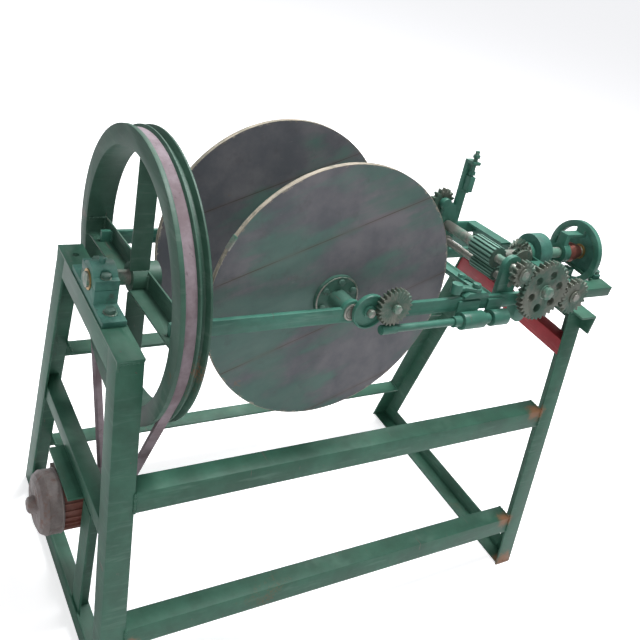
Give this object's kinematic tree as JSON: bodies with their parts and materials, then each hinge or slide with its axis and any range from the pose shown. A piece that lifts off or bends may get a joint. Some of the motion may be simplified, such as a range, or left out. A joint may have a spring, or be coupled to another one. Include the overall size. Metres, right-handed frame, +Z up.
{
  "type": "straw_rope_machine",
  "caption": "Belt-driven straw rope machine: a splayed angle-iron stand with a spinning flyer frame that carries a reel, fluted feed rollers and a gear train",
  "frame": {"origin": "on the floor, under the middle of the machine", "axes": "X along the machine from the belt wheel to the feed end, Y across it away from the gear side, Z up"},
  "size_m": [1.433, 0.66, 1.0921],
  "materials": {
    "frame_green": "worn satin",
    "red_paint": "worn satin",
    "cast_green": "worn satin",
    "wheel_green": "worn satin",
    "flyer_green": "worn satin",
    "worn_steel": "worn",
    "gear_steel": "worn",
    "rusty_polish": "polished, rusty",
    "bronze": "worn",
    "board": "thin worn paint",
    "drum_tin": "worn",
    "bolt_green": "worn",
    "belt_rubber": "matt, dusty",
    "motor_grey": "worn",
    "motor_red": "worn",
    "pulley_iron": "worn"
  },
  "bodies": {
    "frame": {"legs": "frame_green", "left_top_rail": "frame_green", "right_top_rail": "frame_green", "left_middle_rail": "frame_green", "foot_rails": "frame_green", "red_tie_rail": "red_paint", "side_rails": "frame_green", "outrigger": "frame_green", "motor_mount": "frame_green", "motor_stator": "motor_red", "motor_fan_cowl": "motor_grey", "motor_end_shield": "motor_grey", "motor_terminal_box": "motor_grey", "frame_bolts": "bolt_green", "plummer_base": "cast_green", "plummer_cap": "cast_green", "bearing_bushes": "bronze", "arch_pedestal": "cast_green", "fixed_sleeve": "worn_steel", "sun_bevel_gear": "gear_steel", "outer_pedestal": "cast_green", "drive_belt": "belt_rubber"},
    "motor_rotor": {"motor_rotor": "pulley_iron", "motor_pulley": "pulley_iron"},
    "flyer": {"belt_wheel_rim": "wheel_green", "belt_wheel_hub": "wheel_green", "belt_wheel_spokes": "wheel_green", "flyer_stub_shaft": "worn_steel", "flyer_near_bar": "flyer_green", "flyer_far_bar": "flyer_green", "flyer_right_bar": "flyer_green", "flyer_tail_bar": "flyer_green", "flyer_spindle": "worn_steel", "feed_ring": "flyer_green", "feed_throat": "rusty_polish", "flyer_bushes": "worn_steel", "gear_studs": "worn_steel", "lay_shaft_hangers": "flyer_green", "roller_stand": "flyer_green", "guide_block": "flyer_green"},
    "cross_shaft": {"cross_shaft": "worn_steel", "planet_bevel_gear": "gear_steel", "driver_gear": "gear_steel"},
    "holed_gear": {"holed_gear": "gear_steel"},
    "feed_roller": {"upper_roller": "worn_steel", "roller_pinion": "gear_steel", "roller_far_gear": "gear_steel"},
    "lower_roller": {"lower_roller": "worn_steel"},
    "feed_gear": {"feed_gear": "gear_steel"},
    "lay_shaft": {"lay_shaft": "flyer_green"},
    "take_up_gear": {"take_up_gear": "gear_steel"},
    "tension_wheel": {"tension_wheel": "flyer_green"},
    "reel": {"reel_discs": "board", "reel_core": "drum_tin", "reel_shaft": "worn_steel", "reel_hub_flanges": "drum_tin", "reel_bolts": "bolt_green"},
    "guide_arm": {"guide_arm": "flyer_green"},
    "pressure_screw": {"pressure_screw": "flyer_green"}
  },
  "joints": [
    {"name": "flyer_spin", "type": "hinge", "parent": "frame", "child": "flyer", "pos_m": [-0.6315, 0, 0.806], "axis": [1, 0, 0], "continuous": true},
    {"name": "motor_spin", "type": "hinge", "parent": "frame", "child": "motor_rotor", "pos_m": [-0.543, -0.022, 0.27], "axis": [1, 0, 0], "continuous": true},
    {"name": "cross_shaft_spin", "type": "hinge", "parent": "flyer", "child": "cross_shaft", "pos_m": [0.4235, 0, 0.806], "axis": [0, 0.996, -0.0889], "continuous": true},
    {"name": "holed_gear_spin", "type": "hinge", "parent": "flyer", "child": "holed_gear", "pos_m": [0.31774, 0.00195, 0.82781], "axis": [0, 0.996, -0.0889], "continuous": true},
    {"name": "feed_roller_spin", "type": "hinge", "parent": "flyer", "child": "feed_roller", "pos_m": [0.23354, 0.00605, 0.87373], "axis": [0, 0.996, -0.0889], "continuous": true},
    {"name": "feed_gear_spin", "type": "hinge", "parent": "flyer", "child": "feed_gear", "pos_m": [0.21834, 0.01047, 0.92326], "axis": [0, 0.996, -0.0889], "continuous": true},
    {"name": "lower_roller_spin", "type": "hinge", "parent": "flyer", "child": "lower_roller", "pos_m": [0.2437, 0.00242, 0.83314], "axis": [0, 0.996, -0.0889], "continuous": true},
    {"name": "lay_shaft_spin", "type": "hinge", "parent": "flyer", "child": "lay_shaft", "pos_m": [0.0685, -0.22414, 0.79187], "axis": [1, 0, 0], "continuous": true},
    {"name": "take_up_gear_spin", "type": "hinge", "parent": "flyer", "child": "take_up_gear", "pos_m": [-0.0955, 0.00151, 0.82293], "axis": [0, 0.996, -0.0889], "continuous": true},
    {"name": "tension_wheel_spin", "type": "hinge", "parent": "flyer", "child": "tension_wheel", "pos_m": [-0.1445, 0.00036, 0.80998], "axis": [0, 0.996, -0.0889], "continuous": true},
    {"name": "reel_spin", "type": "hinge", "parent": "flyer", "child": "reel", "pos_m": [-0.1775, 0, 0.806], "axis": [0, 0.996, -0.0889], "continuous": true},
    {"name": "guide_arm_swing", "type": "hinge", "parent": "flyer", "child": "guide_arm", "pos_m": [0.1385, -0.19423, 0.82333], "axis": [0, 0.0889, 0.996], "range_deg": [-8, 8]},
    {"name": "pressure_screw_slide", "type": "slide", "parent": "flyer", "child": "pressure_screw", "axis": [0, 0.0889, 0.996], "range_m": [-0.008, 0.008]}
  ],
  "couplings": [
    {"joint": "motor_spin", "follows": "flyer_spin", "ratio": 6.5122},
    {"joint": "cross_shaft_spin", "follows": "flyer_spin", "ratio": -1},
    {"joint": "holed_gear_spin", "follows": "flyer_spin", "ratio": 0.58823},
    {"joint": "feed_roller_spin", "follows": "flyer_spin", "ratio": -1.4286},
    {"joint": "feed_gear_spin", "follows": "flyer_spin", "ratio": 1.0476},
    {"joint": "lay_shaft_spin", "follows": "flyer_spin", "ratio": 0.58823},
    {"joint": "take_up_gear_spin", "follows": "flyer_spin", "ratio": 0.023529}
  ]
}
